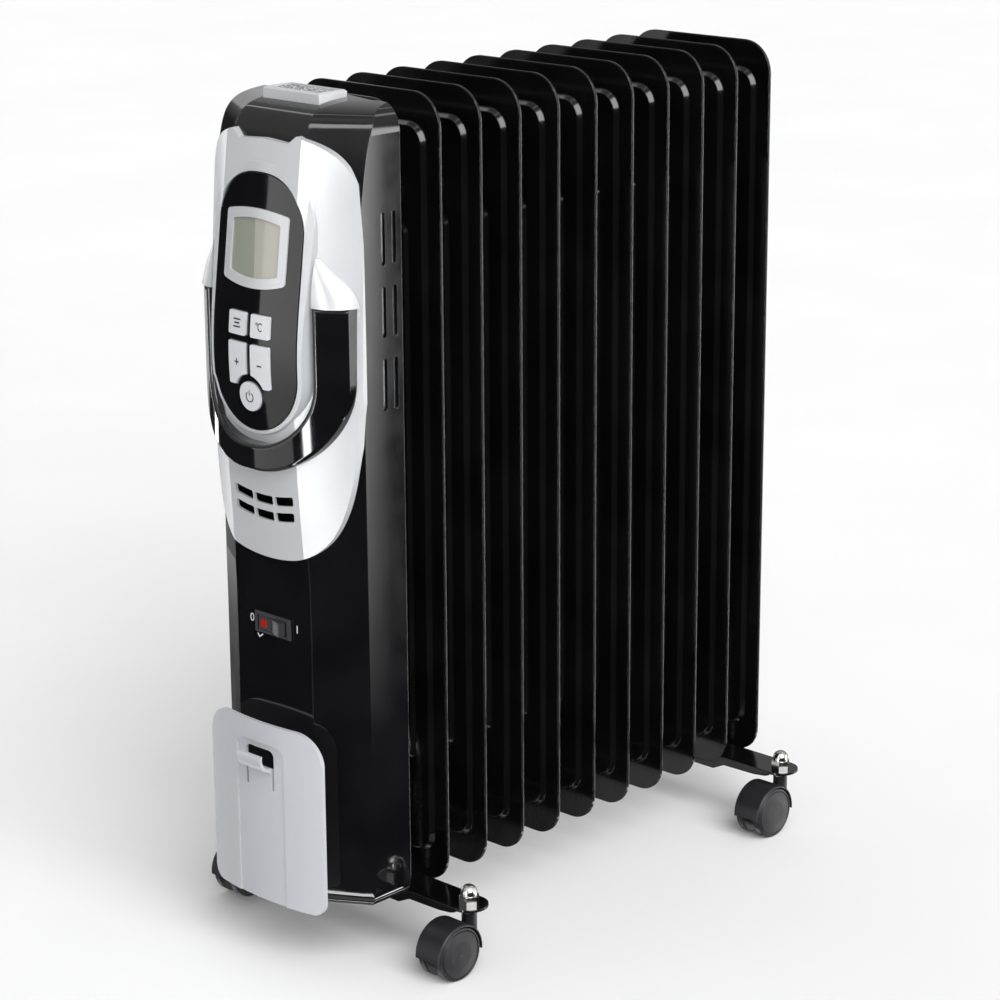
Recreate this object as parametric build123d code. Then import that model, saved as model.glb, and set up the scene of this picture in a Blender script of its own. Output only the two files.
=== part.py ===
from build123d import *
import math
import os

# Oil filled column heater, millimetres, +Z up, +Y towards the rear.
# Shapes are drawn with Z = 0 at the underside of the fins and Y = 0 at the second fin.
# export() moves them so that the origin is the centre of the footprint, on the floor.

FLOOR_DROP = 45.5
STACK_SHIFT = -118.71

# fins
FIN_COUNT = 11
FIN_PITCH = 40.0
FIRST_FIN_Y = -40.0
FIN_WIDTH = 140.0
FIN_HEIGHT = 580.0
FIN_CORNER_TOP = 25.0
FIN_CORNER_BOTTOM = 22.0
SHEET = 0.8
SEAM_HALF = 1.0
PAN_HALF = 4.5
PAN_SIDE_INSET = 11.5
PAN_END_INSET = 20.0
PAN_CORNER = 17.0
PAN_TAPER = 38.0
CHANNEL_HALF = 7.0
CHANNEL_SIDE_INSET = 23.0
CHANNEL_END_INSET = 88.0
CHANNEL_CORNER = 11.0
CHANNEL_TAPER = 45.0

# headers
HEADER_LOW_Z = 82.0
HEADER_HIGH_Z = 498.0
COLLAR_RADIUS = 24.0
COLLAR_WALL = 1.6
BEAD_HEIGHT = 1.4
BEAD_HALF = 2.4
PLUG_HOLE_RADIUS = 8.0
PLUG_RADIUS = 14.0
PLUG_WASHER = 1.0
PLUG_HEX_HEIGHT = 3.5
PLUG_HEX_ACROSS = 17.0

# heating element
ROD_RADIUS = 3.6
ROD_OFFSET = 8.0
ELEMENT_END_Y = 330.0
FLANGE_RADIUS = 27.0
FLANGE_THICK = 5.0
HEX_ACROSS = 38.0
HEX_HEIGHT = 7.0

# rear shield, its screws and the power board
SHIELD_FRONT_Y = -54.5
SHIELD_THICK = 1.0
SHIELD_HALF = 66.0
SHIELD_LOW_Z = 26.0
SHIELD_HIGH_Z = 553.0
SHIELD_VENT_LEVELS = (300, 330, 360, 390, 420)
SHIELD_VENT = (70.0, 7.0)
SHIELD_FLANGE_RADIUS = 30.0
SHIELD_PLUG_RADIUS = 17.0
SHIELD_SCREW_HOLE = 1.8
SCREW_SPOTS = ((-58.0, 40.0), (58.0, 40.0), (-58.0, 535.0), (58.0, 535.0))
SCREW_RADIUS = 1.5
HOLE_GAP = 0.05
SEAT_GAP = 0.3
SCREW_HEAD_RADIUS = 3.4
SCREW_REACH = 12.0
BOARD_POSTS = ((-44.0, 170.0), (44.0, 170.0), (-44.0, 240.0), (44.0, 240.0))
BOARD_Y = -62.0
BOARD_THICK = 1.6
BOARD_POST_RADIUS = 3.0

# cord gland
GLAND_Y = -66.0
GLAND_BODY_RADIUS = 6.5
GLAND_FLANGE_RADIUS = 9.5
GLAND_LOCK_RADIUS = 8.5
GLAND_BORE_RADIUS = 3.8

# control housing
HOUSING_HALF = 73.0
HOUSING_LOW_Z = 5.0
HOUSING_REAR_Y = -41.5
SIDE_CREASE_Y = -80.5
FRONT_CREASE_X = 38.5
FRONT_CREASE_Y = -101.5
WALL = 2.5
PROFILE_REAR_Y = 60.0
TOP_CORNER = 20.0
BOTTOM_CORNER = 14.0
SLOT_ROWS = ((471.0, 507.5), (421.0, 456.5), (370.0, 406.5))
SLOT_COLUMNS = (-59.0, -48.5)
SLOT_WIDTH = 3.8

# silver front cover
NOTCH = ((0.0, 554.5), (24.4, 553.0), (31.5, 558.5))
SHOULDER = ((31.5, 558.5), (46.0, 553.8), (57.0, 547.6), (66.0, 538.2), (72.5, 528.0), (80.0, 512.0))
FASCIA_SIDE_Z = 395.0
FASCIA_BOTTOM_Z = 261.0
FASCIA_REAR_Y = -79.5
VENT_SLOTS = ((-29.6, -10.9), (-9.4, 9.4), (10.9, 29.6))
VENT_ROWS = (305.6, 294.0)
VENT_HEIGHT = 6.6
VENT_SAG = 3.4
VENT_CORNER = 1.6
VENT_DEPTH = 2.2
VENT_POCKET_HALF = 33.0
VENT_POCKET_LEVELS = (287.5, 313.0)

# display pod
POD_HALF = 42.0
POD_LOW_Z = 397.0
POD_HIGH_Z = 491.0
POD_TOP_RISE = 41.0
POD_ARCH_POWER = 0.86
ARCH_STEPS = 12
POD_GAP = 0.3
POD_WALL = 2.4
POD_BACK_Y = -98.0
POD_LEDGE = 6.0
POD_POSTS = ((-30.0, 446.0), (30.0, 446.0), (-30.0, 402.0), (30.0, 402.0))
POD_POST_RADIUS = 2.2
POD_SKIN_LEVELS = (
    (335, -109.6),
    (365, -115.0),
    (395, -117.0),
    (420, -116.6),
    (440, -114.6),
    (460, -112.0),
    (480, -109.4),
    (505, -106.2),
    (545, -101.2),
)
POD_SKIN_HALF = 54.0
POD_SKIN_BOW = 8.0
POD_SKIN_BACK = -80.0
RING_FOOT = 8.4
RING_LIP = 0.5
BEZEL_HALF = 30.5
WINDOW_HALF = 23.7
BUTTON_GAP = 0.4
KEY_CORNER = 1.2
KEY_INNER_X = 2.6
KEY_OUTER_X = 20.2
KEY_TOP_ROW = (421.0, 437.0)
KEY_LOW_ROW = (386.0, 416.0)
POWER_Z = 379.0
POWER_RADIUS = 10.3
POWER_COLLAR = 15.5

BUTTON_STEM_Y = -101.6
DISPLAY_BOARD_Y = -96.0
SWITCH_TOP_Y = -99.8

# handle
HANDLE_OUTER = 73.0
HANDLE_INNER = 50.5
HANDLE_TOP_Z = 446.0
HANDLE_LOW_Z = 327.5
HANDLE_INNER_Z = 346.2
HANDLE_OUTER_CORNER = 66.0
HANDLE_INNER_CORNER = 46.0
HANDLE_ROUND = 3.0

# top plate
TOP_PLATE_HALF = 27.7
TOP_PLATE_Y = (-72.4, -46.4)
TOP_PLATE_LEVELS = (572.0, 584.2)
TOP_PLATE_BEVEL = 1.2
FIELD_MARGIN = 3.0
FIELD_DEPTH = 1.8

# rocker switch
SWITCH_Z = 210.0
SWITCH_FRAME_HALF = 18.3
SWITCH_FRAME_RISE = 7.6
SWITCH_FRAME_Y = -103.3
SWITCH_BODY_HALF = 15.9
SWITCH_BODY_RISE = 6.6
SWITCH_BODY_Y = -84.0
SWITCH_WELL_HALF = 15.1
SWITCH_WELL_RISE = 5.3
SWITCH_WELL_Y = -89.0
SWITCH_TERMINALS = (-9.0, 0.0, 9.0)
ROCKER_RISE = 4.9
PIVOT_RISE = 6.0
PIVOT_RADIUS = 1.5
SWITCH_TILT = 10.0
SWITCH_PIVOT_Y = -98.6
ROCKER_LENS = (-10.2, -4.6, 2.6)

# cord tidy plate
PLATE_HALF = 57.5
PLATE_LOW_Z = 7.0
PLATE_HIGH_Z = 142.5
PLATE_THICK = 3.0
PLATE_CENTRE_Y = -119.8
PLATE_EDGE_Y = -112.3
PANEL_HALF = 24.3
PANEL_TOP_Z = 127.0
HOOK_HALF = 12.2
SLIT_OUTER = 14.4
HUB_SCREWS = (38.0, 76.0)

# feet and castors
BRACKET_Y = (-20.0, 340.0)
BRACKET_HALF_WIDTH = 14.0
BRACKET_TOP_Z = 4.5
BRACKET_THICK = 2.0
STEM_X = 110.0
STEM_RADIUS = 4.0
PIN_RADIUS = 3.1
RUNNING = 0.06
TRAIL = 21.0
AXLE_Z = -25.5
WHEEL_RADIUS = 20.0
HOOD_RADIUS = 22.5
HOOD_HALF = 12.4
WEB_HALF = 4.6
WHEEL_INNER_X = 5.0
WHEEL_OUTER_X = 12.0
AXLE_RADIUS = 2.5
U_BOLT_RADIUS = 2.5
U_BOLT_X = 28.7


def export(name, shape):
    """Move a finished piece to the shared origin and write it."""
    moved = Pos(0, STACK_SHIFT, FLOOR_DROP) * shape
    export_step(moved, os.path.join("parts", name + ".step"))


def block(x0, x1, y0, y1, z0, z1):
    """Box given by its two corners."""
    centre = Pos((x0 + x1) / 2, (y0 + y1) / 2, (z0 + z1) / 2)
    return centre * Box(x1 - x0, y1 - y0, z1 - z0)


def rod_x(x0, x1, y, z, radius):
    """Cylinder along X."""
    return Pos((x0 + x1) / 2, y, z) * Rot(0, 90, 0) * Cylinder(radius, x1 - x0)


def rod_y(x, y0, y1, z, radius):
    """Cylinder along Y."""
    return Pos(x, (y0 + y1) / 2, z) * Rot(90, 0, 0) * Cylinder(radius, y1 - y0)


def rod_z(x, y, z0, z1, radius):
    """Cylinder along Z."""
    return Pos(x, y, (z0 + z1) / 2) * Cylinder(radius, z1 - z0)


def front_prism(face, y0, y1):
    """Extrude a face drawn in the XZ plane between two Y values, y0 < y1."""
    return Pos(0, y1, 0) * extrude(face, y1 - y0)


def plan_prism(face, z0, z1):
    """Extrude a face drawn in the XY plane between two Z values."""
    return Pos(0, 0, z0) * extrude(face, z1 - z0)


def panel(width, bottom, top, radius_bottom, radius_top):
    """Upright rectangle in the XZ plane with its own bottom and top corner radii."""
    face = Plane.XZ * Pos(0, (top + bottom) / 2) * Rectangle(width, top - bottom)
    face = fillet(face.vertices().sort_by(Axis.Z)[:2], radius_bottom)
    return fillet(face.vertices().sort_by(Axis.Z)[-2:], radius_top)


def both_sides(face, half, taper):
    """Raise a face by half a thickness on both sides of the XZ plane, with sloped walls."""
    front = extrude(face, half, taper=taper)
    return front + mirror(front, Plane.XZ)


# ---------------------------------------------------------------- fins


def fin_levels(inset):
    """Pressed pan and oil channel of a fin; inset draws the space inside the sheets."""
    pan_face = panel(
        FIN_WIDTH - 2 * (PAN_SIDE_INSET + inset),
        PAN_END_INSET + inset,
        FIN_HEIGHT - PAN_END_INSET - inset,
        PAN_CORNER - inset,
        PAN_CORNER - inset,
    )
    channel_face = panel(
        FIN_WIDTH - 2 * (CHANNEL_SIDE_INSET + inset),
        CHANNEL_END_INSET + inset,
        FIN_HEIGHT - CHANNEL_END_INSET - inset,
        CHANNEL_CORNER,
        CHANNEL_CORNER,
    )
    pan = both_sides(pan_face, PAN_HALF - inset, PAN_TAPER)
    channel = both_sides(channel_face, CHANNEL_HALF - inset, CHANNEL_TAPER)
    return pan + channel


def make_fin(front_holes, rear_holes):
    """One fin: two pressed sheets seamed at the edge, hollow for the oil."""
    seam_face = panel(FIN_WIDTH, 0, FIN_HEIGHT, FIN_CORNER_BOTTOM, FIN_CORNER_TOP)
    seam = both_sides(seam_face, SEAM_HALF, 0)
    fin = seam + fin_levels(0) - fin_levels(SHEET)
    for z, radius in front_holes:
        fin -= rod_y(0, -CHANNEL_HALF - 1, 0, z, radius)
    for z, radius in rear_holes:
        fin -= rod_y(0, 0, CHANNEL_HALF + 1, z, radius)
    return fin


def make_collar(z):
    """Header tube between the first two fins, with the weld bead half way."""
    start = FIRST_FIN_Y
    end = FIRST_FIN_Y + FIN_PITCH
    middle = (start + end) / 2
    collar = rod_y(0, start, end, z, COLLAR_RADIUS)
    bead = rod_y(0, middle - BEAD_HALF, middle + BEAD_HALF, z, COLLAR_RADIUS + BEAD_HEIGHT)
    collar += fillet(bead.edges(), BEAD_HEIGHT * 0.8)
    collar -= rod_y(0, start, end, z, COLLAR_RADIUS - COLLAR_WALL)
    stamping = fin_levels(0)
    return collar - Pos(0, start, 0) * stamping - Pos(0, end, 0) * stamping


def make_collars():
    """All header tubes, lower and upper row."""
    collars = []
    for z in (HEADER_LOW_Z, HEADER_HIGH_Z):
        collar = make_collar(z)
        for index in range(FIN_COUNT - 1):
            collars.append(Pos(0, index * FIN_PITCH, 0) * collar)
    return Compound(children=collars)


# ---------------------------------------------------------------- heating element


def hairpin(z, start_y):
    """Bent tube: two straight legs joined by a half circle at the far end."""
    bend_y = ELEMENT_END_Y - ROD_OFFSET
    left = rod_y(-ROD_OFFSET, start_y, bend_y, z, ROD_RADIUS)
    right = rod_y(ROD_OFFSET, start_y, bend_y, z, ROD_RADIUS)
    ring = Pos(0, bend_y, z) * Torus(ROD_OFFSET, ROD_RADIUS)
    reach = ROD_OFFSET + ROD_RADIUS + 1
    half = ring & block(-reach, reach, bend_y, bend_y + reach, z - reach, z + reach)
    return left + right + half


def make_element():
    """Two heating hairpins with spade terminals on their cold ends."""
    start_y = FIRST_FIN_Y - PAN_HALF - FLANGE_THICK - HEX_HEIGHT - 6
    element = []
    for side in (-1, 1):
        z = HEADER_LOW_Z + side * ROD_OFFSET
        loop = hairpin(z, start_y)
        for x in (-ROD_OFFSET, ROD_OFFSET):
            loop += block(x - 3.2, x + 3.2, start_y - 11, start_y, z - 0.5, z + 0.5)
        element.append(loop)
    return Compound(children=element)


def element_holes():
    """The four leg positions, as cutters for the flange."""
    cutters = []
    for x in (-ROD_OFFSET, ROD_OFFSET):
        for side in (-1, 1):
            z = HEADER_LOW_Z + side * ROD_OFFSET
            cutters.append(rod_y(x, -80, 0, z, ROD_RADIUS + HOLE_GAP))
    return cutters


def hexagon_prism(y0, y1, z, across):
    """Hexagonal head along Y."""
    face = Plane.XZ * Pos(0, z) * RegularPolygon(across / math.sqrt(3), 6)
    return front_prism(face, y0, y1)


def make_flange():
    """Screwed flange that closes the lower header and carries the element."""
    face_y = FIRST_FIN_Y - PAN_HALF
    flange = rod_y(0, face_y - FLANGE_THICK, face_y, HEADER_LOW_Z, FLANGE_RADIUS)
    hex_front = face_y - FLANGE_THICK - HEX_HEIGHT
    flange += hexagon_prism(hex_front, face_y - FLANGE_THICK, HEADER_LOW_Z, HEX_ACROSS)
    flange -= Pos(0, FIRST_FIN_Y, 0) * fin_levels(0)
    spigot_start = face_y - FLANGE_THICK
    flange += rod_y(0, spigot_start, face_y + SHEET, HEADER_LOW_Z, COLLAR_RADIUS - COLLAR_WALL)
    for cutter in element_holes():
        flange -= cutter
    return flange


def make_filler_plug():
    """Plug of the oil filling hole in the upper header."""
    face_y = FIRST_FIN_Y - PAN_HALF
    washer_y = FIRST_FIN_Y - CHANNEL_HALF - PLUG_WASHER
    plug = rod_y(0, washer_y, face_y, HEADER_HIGH_Z, PLUG_RADIUS)
    plug -= Pos(0, FIRST_FIN_Y, 0) * fin_levels(0)
    plug += hexagon_prism(washer_y - PLUG_HEX_HEIGHT, washer_y, HEADER_HIGH_Z, PLUG_HEX_ACROSS)
    plug += rod_y(0, washer_y, face_y + SHEET, HEADER_HIGH_Z, PLUG_HOLE_RADIUS)
    return plug


# ---------------------------------------------------------------- rear shield


def make_shield():
    """Sheet metal tray welded to the first fin; it carries the housing and the board."""
    back = SHIELD_FRONT_Y + SHIELD_THICK
    seam_y = FIRST_FIN_Y - SEAM_HALF
    shield = block(-SHIELD_HALF, SHIELD_HALF, SHIELD_FRONT_Y, back, SHIELD_LOW_Z, SHIELD_HIGH_Z)
    for side in (-1, 1):
        inner = side * (SHIELD_HALF - SHIELD_THICK)
        outer = side * SHIELD_HALF
        shield += block(min(inner, outer), max(inner, outer), back, seam_y, SHIELD_LOW_Z, SHIELD_HIGH_Z)
    before = SHIELD_FRONT_Y - 5
    behind = back + 4
    shield -= rod_y(0, before, behind, HEADER_LOW_Z, SHIELD_FLANGE_RADIUS)
    shield -= rod_y(0, before, behind, HEADER_HIGH_Z, SHIELD_PLUG_RADIUS)
    for x, z in SCREW_SPOTS:
        shield -= rod_y(x, before, behind, z, SHIELD_SCREW_HOLE)
    for x, z in BOARD_POSTS:
        shield += rod_y(x, BOARD_Y, SHIELD_FRONT_Y, z, BOARD_POST_RADIUS)
    for z in SHIELD_VENT_LEVELS:
        shield -= front_prism(Plane.XZ * Pos(0, z) * SlotOverall(*SHIELD_VENT), before, behind)
    return shield


def make_housing_screws():
    """Four screws from the shield into the housing and two from the housing into the hub."""
    screws = []
    back = SHIELD_FRONT_Y + SHIELD_THICK
    for x, z in SCREW_SPOTS:
        screw = rod_y(x, back, back + 2, z, SCREW_HEAD_RADIUS)
        screw += rod_y(x, SHIELD_FRONT_Y - SCREW_REACH, back, z, SCREW_RADIUS)
        screws.append(screw)
    for z in HUB_SCREWS:
        inner = FRONT_CREASE_Y + WALL
        screw = rod_y(0, inner, inner + 2, z, SCREW_HEAD_RADIUS)
        screw += rod_y(0, inner - SCREW_REACH, inner, z, SCREW_RADIUS)
        screws.append(screw)
    return Compound(children=screws)


# ---------------------------------------------------------------- control housing


def housing_side_face(inset):
    """Side view of the housing in the YZ plane."""
    front = [
        (-86, HOUSING_LOW_Z),
        (-95, HOUSING_LOW_Z + 4),
        (-99.5, HOUSING_LOW_Z + 12),
        (-101.2, 34),
        (-101.5, 120),
        (-101.5, 250),
        (-103.5, 310),
        (-105.0, 360),
        (-105.0, 410),
        (-103.5, 450),
        (-100.8, 500),
        (-95.5, 545),
        (-91.5, 560),
        (-84, 571),
        (-72, 576.5),
        (-41.5, 580),
    ]
    points = [(y + inset, z) for y, z in front]
    rear = [points[-1], (PROFILE_REAR_Y, FIN_HEIGHT), (PROFILE_REAR_Y, HOUSING_LOW_Z), points[0]]
    return Plane.YZ * make_face(Spline(*points) + Polyline(*rear))


def housing_plan_face(inset):
    """Plan of the housing: flat sides, then a facet up to the front face."""
    slope = (FRONT_CREASE_Y - SIDE_CREASE_Y) / (FRONT_CREASE_X - HOUSING_HALF)
    tip_y = -112.0
    tip_x = FRONT_CREASE_X + (tip_y - FRONT_CREASE_Y) / slope
    half = HOUSING_HALF - inset
    rear = HOUSING_REAR_Y + inset * 2
    shift = inset * 1.17
    corner_y = SIDE_CREASE_Y + shift - slope * inset
    points = [(half, rear), (half, corner_y), (tip_x, tip_y + shift)]
    points += [(-x, y) for x, y in reversed(points)]
    face = make_face(Polyline(*points, close=True))
    corners = face.vertices().filter_by(lambda v: abs(v.Y - corner_y) < 0.01)
    return fillet(corners, 7)


def housing_mass(inset):
    """Solid form of the housing; inset gives the space inside its wall."""
    outline = panel(
        2 * (HOUSING_HALF - inset),
        HOUSING_LOW_Z + inset,
        FIN_HEIGHT - inset,
        BOTTOM_CORNER - inset / 2,
        TOP_CORNER - inset / 2,
    )
    plan = plan_prism(housing_plan_face(inset), 0, FIN_HEIGHT)
    side = Pos(-150, 0, 0) * extrude(housing_side_face(inset), 300)
    mass = front_prism(outline, -130, 0) & plan & side
    turn = math.degrees(math.atan2(SIDE_CREASE_Y - FRONT_CREASE_Y, HOUSING_HALF - FRONT_CREASE_X))
    for sign in (-1, 1):
        crease = Pos(sign * FRONT_CREASE_X, FRONT_CREASE_Y, 0)
        mass = mass & (crease * Rot(0, 0, sign * turn) * Pos(0, -FRONT_CREASE_Y, 0) * side)
    return mass


def make_housing(outer):
    """Black front housing: a shell open at the rear, with bosses and cut-outs."""
    inner = housing_mass(WALL)
    housing = outer - inner
    for x, z in SCREW_SPOTS:
        boss = rod_y(x, -100, SHIELD_FRONT_Y, z, 4.2) & outer
        boss -= rod_y(x, SHIELD_FRONT_Y - SCREW_REACH, SHIELD_FRONT_Y, z, SCREW_RADIUS + HOLE_GAP)
        housing += boss
    housing -= front_prism(pod_face(-POD_LEDGE), -120, -90)
    housing -= front_prism(pod_face(POD_GAP), -120, POD_BACK_Y + 0.1)
    housing -= centred_block(SWITCH_BODY_HALF, -120, -90, SWITCH_BODY_RISE)
    for row in SLOT_ROWS:
        for y in SLOT_COLUMNS:
            slot = Pos(y, sum(row) / 2) * Rot(0, 0, 90) * SlotOverall(row[1] - row[0], SLOT_WIDTH)
            housing -= Pos(-90, 0, 0) * extrude(Plane.YZ * slot, 180)
    housing -= block(-VENT_POCKET_HALF, VENT_POCKET_HALF, -120, -90, *VENT_POCKET_LEVELS)
    for z in HUB_SCREWS:
        housing -= rod_y(0, -110, -95, z, SCREW_RADIUS + HOLE_GAP)
        housing -= rod_y(0, FRONT_CREASE_Y + WALL, -90, z, SCREW_HEAD_RADIUS + SEAT_GAP)
    housing -= rod_z(0, GLAND_Y, 0, HOUSING_LOW_Z + 10, GLAND_BODY_RADIUS)
    return housing


# ---------------------------------------------------------------- silver front cover


def skin_section(z, half, side_y, mid_y, crease_x, crease_y, centre_y):
    """Plan section of the front cover: two bowed facets and a slightly bowed centre."""
    mid_x = (half + crease_x) / 2
    back = HOUSING_REAR_Y - 10
    edges = Line((half, back), (half, side_y))
    edges += ThreePointArc((half, side_y), (mid_x, mid_y), (crease_x, crease_y))
    edges += ThreePointArc((crease_x, crease_y), (0, centre_y), (-crease_x, crease_y))
    edges += ThreePointArc((-crease_x, crease_y), (-mid_x, mid_y), (-half, side_y))
    edges += Line((-half, side_y), (-half, back))
    edges += Line((-half, back), (half, back))
    return Pos(0, 0, z) * make_face(edges)


def fascia_mass():
    """Outer form of the silver cover, lofted from plan sections."""
    levels = [
        (250, 74.6, -82.0, -93.2, 36.5, -103.3, -103.9),
        (285, 75.2, -82.6, -95.4, 35.5, -105.2, -106.2),
        (320, 75.8, -83.2, -96.8, 35.2, -107.4, -108.6),
        (360, 76.2, -83.4, -97.6, 35.2, -108.9, -110.2),
        (400, 76.4, -82.8, -97.4, 35.5, -109.2, -110.6),
        (440, 76.2, -81.8, -96.6, 36.0, -108.4, -109.8),
        (480, 75.8, -80.0, -94.6, 36.5, -106.2, -107.4),
        (520, 75.0, -77.8, -91.4, 36.8, -102.4, -103.4),
        (570, 74.2, -74.0, -85.4, 36.8, -95.4, -96.2),
    ]
    return loft([skin_section(*level) for level in levels])


def fascia_face():
    """Front view of the silver cover in the XZ plane."""
    half = SHOULDER[-1][0]
    bottom = [
        (half, FASCIA_SIDE_Z),
        (75.0, 372.0),
        (71.5, 340.0),
        (67.5, 314.0),
        (61.0, 293.0),
        (52.0, 278.0),
        (38.0, 267.5),
        (18.0, 262.2),
        (0.0, FASCIA_BOTTOM_Z),
    ]
    mirror_bottom = [(-x, z) for x, z in reversed(bottom[:-1])]
    lower = Spline(*(bottom + mirror_bottom))
    left_shoulder = [(-x, z) for x, z in SHOULDER]
    notch = [(-x, z) for x, z in reversed(NOTCH)] + list(NOTCH[1:])
    upper = Spline(*SHOULDER) + Polyline(*notch) + Spline(*left_shoulder)
    sides = Line((half, FASCIA_SIDE_Z), SHOULDER[-1]) + Line((-half, FASCIA_SIDE_Z), left_shoulder[-1])
    return Plane.XZ * make_face(lower + upper + sides)


def arch(half, rise, foot, power):
    """Half of a squarish ellipse from right to left; a negative rise hangs down."""
    points = []
    for index in range(ARCH_STEPS + 1):
        angle = math.pi * index / ARCH_STEPS
        cosine = math.cos(angle)
        x = half * math.copysign(abs(cosine) ** power, cosine)
        points.append((x, foot + rise * abs(math.sin(angle)) ** power))
    start = math.copysign(1, rise)
    return Spline(*points, tangents=((0, start), (0, -start)))


def pod_face(grow=0.0):
    """Front view of the display pod, grown outwards: half circle below, rounded arch above."""
    half = POD_HALF + grow
    bottom = arch(half, -half, POD_LOW_Z, 1)
    top = arch(half, POD_TOP_RISE + grow, POD_HIGH_Z, POD_ARCH_POWER)
    right = Line((half, POD_LOW_Z), (half, POD_HIGH_Z))
    left = Line((-half, POD_HIGH_Z), (-half, POD_LOW_Z))
    return Plane.XZ * make_face(bottom + right + top + left)


def pod_skin(depth):
    """Bowed front surface shared by the pod, its window and its buttons."""
    half = POD_SKIN_HALF
    sections = []
    for z, centre_y in POD_SKIN_LEVELS:
        front = centre_y + depth
        edge = front + POD_SKIN_BOW
        arc = ThreePointArc((half, edge), (0, front), (-half, edge))
        sides = Polyline((-half, edge), (-half, POD_SKIN_BACK), (half, POD_SKIN_BACK), (half, edge))
        sections.append(Pos(0, 0, z) * make_face(arc + sides))
    return loft(sections)


def tapered_ring():
    """Bevelled collar that rises from the cover around the pod."""
    foot = Pos(0, -98, 0) * pod_face(RING_FOOT)
    lip = Pos(0, -119, 0) * pod_face(RING_LIP)
    return loft([foot, lip]) & pod_skin(0.6)


def horn_section(z, inner, crest, shoulder, side, rear):
    """Plan section of the horn: a sharp inner edge, then a round back; corners are (x, y)."""
    crown = Spline(crest, shoulder, side)
    rest = Polyline(side, rear, inner, crest)
    return Pos(0, 0, z) * make_face(crown + rest)


def horn():
    """Pointed fairing over one leg of the handle, right-hand side."""
    sections = [
        horn_section(HANDLE_TOP_Z, (49.0, -94), (50.5, -105.6), (64.5, -101.4), (75.4, -84), (72, -76)),
        horn_section(454.0, (49.3, -94), (50.6, -105.4), (62.6, -100.8), (72.4, -85), (69, -78)),
        horn_section(463.0, (49.6, -94), (50.8, -104.4), (59.4, -100.6), (66.6, -88), (64, -82)),
        horn_section(472.0, (50.0, -94), (50.9, -102.8), (54.6, -100.6), (58.4, -93), (57, -89)),
        horn_section(479.0, (50.4, -94), (50.9, -101.0), (51.6, -100.2), (52.4, -98), (52.2, -94)),
    ]
    return loft(sections)


def vent_level(x, z):
    """Height of a vent row's centre line at x; the row curves up towards its ends."""
    return z + VENT_SAG * ((x / VENT_SLOTS[2][1]) ** 2 - 0.5)


def vent_face(x0, x1, z):
    """One slot of the smiling vent rows, drawn between two arcs."""
    half = VENT_HEIGHT / 2
    middle = (x0 + x1) / 2
    start = vent_level(x0, z)
    centre = vent_level(middle, z)
    end = vent_level(x1, z)
    edges = ThreePointArc((x0, start - half), (middle, centre - half), (x1, end - half))
    edges += Line((x1, end - half), (x1, end + half))
    edges += ThreePointArc((x1, end + half), (middle, centre + half), (x0, start + half))
    edges += Line((x0, start + half), (x0, start - half))
    face = make_face(edges)
    return Plane.XZ * fillet(face.vertices(), VENT_CORNER)


def make_fascia(housing_outer):
    """Silver cover over the upper half of the housing."""
    right_horn = horn()
    cover = fascia_mass() & front_prism(fascia_face(), -130, -40)
    cover += tapered_ring()
    cover += right_horn
    cover += mirror(right_horn, Plane.YZ)
    cover -= housing_outer
    cover = cover & block(-100, 100, -130, FASCIA_REAR_Y, 200, 600)
    cover -= front_prism(pod_face(POD_GAP), -130, -60)
    pocket = block(-VENT_POCKET_HALF, VENT_POCKET_HALF, -130, -60, *VENT_POCKET_LEVELS)
    cover -= pocket & (Pos(0, VENT_DEPTH, 0) * fascia_mass())
    for z in VENT_ROWS:
        for x0, x1 in VENT_SLOTS:
            cover -= front_prism(vent_face(x0, x1, z), -130, -60)
    return cover


# ---------------------------------------------------------------- handle


def handle_face():
    """Front view of the U shaped grip."""
    above = 2 * HANDLE_TOP_Z
    outer = panel(2 * HANDLE_OUTER, HANDLE_LOW_Z, above, HANDLE_OUTER_CORNER, 1)
    inner = panel(2 * HANDLE_INNER, HANDLE_INNER_Z, above + 10, HANDLE_INNER_CORNER, 1)
    return outer - inner


def make_handle(cover, housing_outer):
    """Black U shaped grip standing on the silver cover."""
    arc = ThreePointArc((78, -88.0), (0, -121.0), (-78, -88.0))
    back = Polyline((-78, -88.0), (-78, -74), (78, -74), (78, -88.0))
    skin = plan_prism(make_face(arc + back), 300, HANDLE_TOP_Z)
    grip = front_prism(handle_face(), -130, -70) & skin
    front = grip.faces().sort_by(Axis.Y)[0]
    grip = fillet(front.edges(), HANDLE_ROUND)
    grip -= cover
    grip -= housing_outer
    return biggest(grip)


def biggest(shape):
    """The largest solid of a cut result."""
    return shape.solids().sort_by(SortBy.VOLUME)[-1]


# ---------------------------------------------------------------- display and buttons


def arch_face(half, low_corner, high_corner, low_drop, high_rise, radius):
    """Rectangle with a bowed top and bottom, in the XZ plane."""
    edges = ThreePointArc((-half, low_corner), (0, low_corner - low_drop), (half, low_corner))
    edges += Line((half, low_corner), (half + 0.1, high_corner))
    top = high_corner + high_rise
    edges += ThreePointArc((half + 0.1, high_corner), (0, top), (-half - 0.1, high_corner))
    edges += Line((-half - 0.1, high_corner), (-half, low_corner))
    face = make_face(edges)
    return Plane.XZ * fillet(face.vertices(), radius)


def bezel_face():
    return arch_face(BEZEL_HALF, 458.5, 504.5, 4.5, 3.5, 3.0)


def window_face():
    return arch_face(WINDOW_HALF, 464.0, 498.5, 3.2, 3.0, 1.2)


def slab(face, front, back):
    """Piece of the bowed pod surface: front and back are depths behind it."""
    body = front_prism(face, -130, -85)
    return (body & pod_skin(front)) - pod_skin(back)


def key_face(x0, x1, z0, z1):
    """Rounded rectangle of one key."""
    face = Pos((x0 + x1) / 2, (z0 + z1) / 2) * Rectangle(x1 - x0, z1 - z0)
    return fillet(face.vertices(), KEY_CORNER)


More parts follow.
